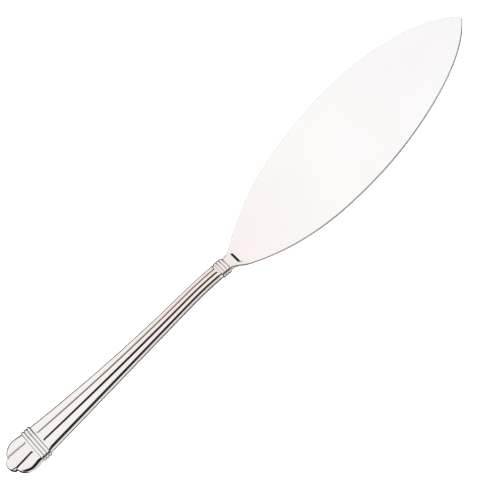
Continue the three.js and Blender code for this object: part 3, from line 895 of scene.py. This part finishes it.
def plate_tint(tree, place):
    """Colour of the silver along the knife."""
    first, last = PLATE_TINTS[0][0], PLATE_TINTS[-1][0]
    split = tree.nodes.new("ShaderNodeSeparateXYZ")
    tree.links.new(place, split.inputs["Vector"])
    span = (FERRULE_FACE + first * MM, FERRULE_FACE + last * MM)
    share = map_range(tree, split.outputs["X"], span)
    tint = add_node(tree, "ShaderNodeValToRGB")
    stops = tint.color_ramp.elements
    stops.remove(stops[1])
    for number, (distance, colour) in enumerate(PLATE_TINTS):
        stop = stops.new((distance - first) / (last - first)) if number else stops[0]
        stop.color = (*colour, 1)
    tree.links.new(share, tint.inputs["Fac"])
    return tint.outputs["Color"]


def silver_material(name, painted_shade=0.0):
    """Polished silver. The shade argument says how much darker the valleys between beads are painted
    where ambient occlusion finds them sheltered: painted shade.
    """
    material, tree, shader = node_material(name)
    place = object_place(tree)
    shader.inputs["Metallic"].default_value = 1.0

    clouds = add_node(tree, "ShaderNodeValToRGB")
    dark, light = clouds.color_ramp.elements
    dark.position, light.position = CLOUD_STOPS
    dark.color = CLOUD_TINT
    tree.links.new(noise_from(tree, place, *CLOUD_NOISE), clouds.inputs["Fac"])
    colour = multiply(tree, plate_tint(tree, place), clouds.outputs["Color"])
    # Painted shade: the colour is darkened in the valleys between beads, where ambient occlusion finds
    # them sheltered.
    if painted_shade:
        shelter = add_node(tree, "ShaderNodeAmbientOcclusion", {"Distance": VALLEY_SHADE_REACH * MM})
        shade_factor = map_range(tree, shelter.outputs["AO"], VALLEY_SHADE_SPAN, 1 - painted_shade)
        colour = multiply(tree, colour, shade_factor)
    tree.links.new(colour, shader.inputs["Base Color"])

    polish = noise_from(tree, place, *POLISH_NOISE)
    roughness = map_range(tree, polish, POLISH_SPAN, *POLISH_ROUGHNESS)
    tree.links.new(roughness, shader.inputs["Roughness"])

    marks = bump(tree, noise_from(tree, place, *MARK_NOISE), *MARK_BUMP)
    waves = bump(tree, noise_from(tree, place, *WAVE_NOISE), *WAVE_BUMP)
    tree.links.new(waves.outputs["Normal"], marks.inputs["Normal"])
    tree.links.new(marks.outputs["Normal"], shader.inputs["Normal"])
    return material


def cement_material():
    material, tree, shader = node_material("handle_cement")
    shader.inputs["Roughness"].default_value = CEMENT_ROUGHNESS
    grains = noise_from(tree, object_place(tree), *CEMENT_NOISE)
    colour = add_node(tree, "ShaderNodeValToRGB")
    dark, light = colour.color_ramp.elements
    dark.color = CEMENT_DARK
    light.color = CEMENT_LIGHT
    tree.links.new(grains, colour.inputs["Fac"])
    tree.links.new(colour.outputs["Color"], shader.inputs["Base Color"])
    pits = bump(tree, grains, *CEMENT_BUMP)
    tree.links.new(pits.outputs["Normal"], shader.inputs["Normal"])
    return material


def floor_material():
    material, tree, shader = node_material("pale_floor")
    shader.inputs["Roughness"].default_value = 1.0
    shader.inputs["Specular IOR Level"].default_value = 0.0
    grains = noise_from(tree, object_place(tree), *FLOOR_NOISE)
    shade = map_range(tree, grains, (0, 1), *FLOOR_SHADES)
    tree.links.new(shade, shader.inputs["Base Color"])
    return material


# Floor, light and camera

def add_floor():
    mesh = bpy.data.meshes.new("floor")
    corners = [(-FLOOR_HALF, -FLOOR_HALF), (FLOOR_HALF, -FLOOR_HALF)]
    corners += [(FLOOR_HALF, FLOOR_HALF), (-FLOOR_HALF, FLOOR_HALF)]
    mesh.from_pydata([(x, y, FLOOR_HEIGHT) for x, y in corners], [], [(0, 1, 2, 3)])
    mesh.materials.append(floor_material())
    floor = bpy.data.objects.new("floor", mesh)
    bpy.context.scene.collection.objects.link(floor)
    floor.visible_glossy = False


def make_world():
    """The studio's light in each direction: a ceiling, a belt round the horizon and a zone below."""
    world = bpy.data.worlds.new("studio")
    bpy.context.scene.world = world
    world.use_nodes = True
    tree = world.node_tree
    split = tree.nodes.new("ShaderNodeSeparateXYZ")
    tree.links.new(tree.nodes.new("ShaderNodeTexCoord").outputs["Generated"], split.inputs["Vector"])

    def ramp(source, span, low, high):
        return map_range(tree, source, span, low, high, interpolation_type="SMOOTHSTEP")

    def calculate(kind, *values):
        node = add_node(tree, "ShaderNodeMath", operation=kind)
        for socket, value in zip(node.inputs, values):
            if isinstance(value, (int, float)):
                socket.default_value = value
            else:
                tree.links.new(value, socket)
        return node.outputs["Value"]

    def inverse(value):
        return calculate("SUBTRACT", 1, value)

    def product(*values):
        result = values[0]
        for value in values[1:]:
            result = calculate("MULTIPLY", result, value)
        return result

    x, y, z = (split.outputs[axis] for axis in "XYZ")
    aside = calculate("ABSOLUTE", x)

    back_rise = ramp(y, BACK_RISE_SPAN, 0, BACK_RISE)
    above = ramp(calculate("SUBTRACT", z, back_rise), CEILING_SPAN, 0, 1)
    beside_middle = calculate("ABSOLUTE", calculate("SUBTRACT", x, DARK_FRONT_MIDDLE))
    dark_front = product(ramp(y, DARK_FRONT_SPAN, 0, 1), ramp(beside_middle, DARK_FRONT_SIDES, 1, 0))
    ceiling = calculate("MULTIPLY_ADD", dark_front, -DARK_FRONT_SHARE, 1.0)

    below = ramp(z, BELT_FLOOR_SPAN, 0, 1)
    belt = product(ramp(aside, BELT_SIDES, *BELT_GLOWS), ramp(y, BELT_BACK_SPAN, BELT_FRONT_SHARE, 1))
    belt = product(belt, inverse(above), inverse(below))

    level = calculate("SUBTRACT", product(y, DOWN_FROM_Y), product(z, DOWN_FROM_Z))
    downward = calculate("ADD", level, product(aside, DOWN_FROM_SIDES))
    low_zone = product(
        ramp(downward, DOWN_SPAN, 1, LOW_DARK_SHARE),
        ramp(y, LOW_BACK_SPAN, 1, LOW_DARK_SHARE),
        ramp(aside, LOW_SIDES, 1, LOW_DARK_SHARE),
    )
    low_zone = product(low_zone, below, ramp(y, LOW_FRONT_SPAN, LOW_FRONT_SHARE, 1))

    glow = calculate("ADD", calculate("ADD", product(ceiling, above), belt), low_zone)
    tree.links.new(glow, tree.nodes["Background"].inputs["Color"])


def add_softbox(name, location, target, size, watts):
    light = bpy.data.lights.new(name, "AREA")
    light.shape = "SQUARE"
    light.size = size
    light.energy = watts
    lamp = bpy.data.objects.new(name, light)
    lamp.location = location
    lamp.rotation_mode = "QUATERNION"
    lamp.rotation_quaternion = (Vector(target) - Vector(location)).to_track_quat("-Z", "Y")
    lamp.visible_glossy = False
    bpy.context.scene.collection.objects.link(lamp)


def add_camera():
    towards = Vector((
        -sin(CAMERA_LEAN) * cos(CAMERA_TILT),
        -sin(CAMERA_TILT),
        cos(CAMERA_TILT) * cos(CAMERA_LEAN),
    ))
    towards.normalize()
    level = (Vector((1, 0, 0)) - towards * towards.x).normalized()
    raised = towards.cross(level)
    right = level * cos(CAMERA_ROLL) - raised * sin(CAMERA_ROLL)
    upward = level * sin(CAMERA_ROLL) + raised * cos(CAMERA_ROLL)
    data = bpy.data.cameras.new("camera")
    data.sensor_width = SENSOR
    data.lens = FOCAL_PIXELS * SENSOR / IMAGE_SIDE
    data.clip_end = CAMERA_REACH
    camera = bpy.data.objects.new("camera", data)
    turn = Matrix((right, upward, towards)).transposed().to_4x4()
    camera.matrix_world = Matrix.Translation(CAMERA_TARGET + towards * CAMERA_DISTANCE) @ turn
    bpy.context.scene.collection.objects.link(camera)
    bpy.context.scene.camera = camera


silver = silver_material("polished_silver")
# The ferrule and the band get painted shade in the valleys between their beads.
beaded_silver = silver_material("beaded_silver", painted_shade=BEAD_VALLEY_SHADE)
add_piece("blade", make_blade(), silver)
add_piece("neck_ferrule", make_ferrule(), beaded_silver)
add_piece("handle_front_shell", make_shell(1), silver)
add_piece("handle_back_shell", make_shell(-1), silver)
add_piece("butt_band", make_band(), beaded_silver)
add_piece("butt_cap", make_cap(), silver)

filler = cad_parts["handle_filler"]
filler.data.materials.clear()
filler.data.materials.append(cement_material())

add_floor()
make_world()
add_softbox("softbox_front", SOFTBOX_PLACE, SOFTBOX_TARGET, SOFTBOX_SIZE, SOFTBOX_WATTS)
add_camera()
bpy.context.scene.view_settings.view_transform = "Standard"
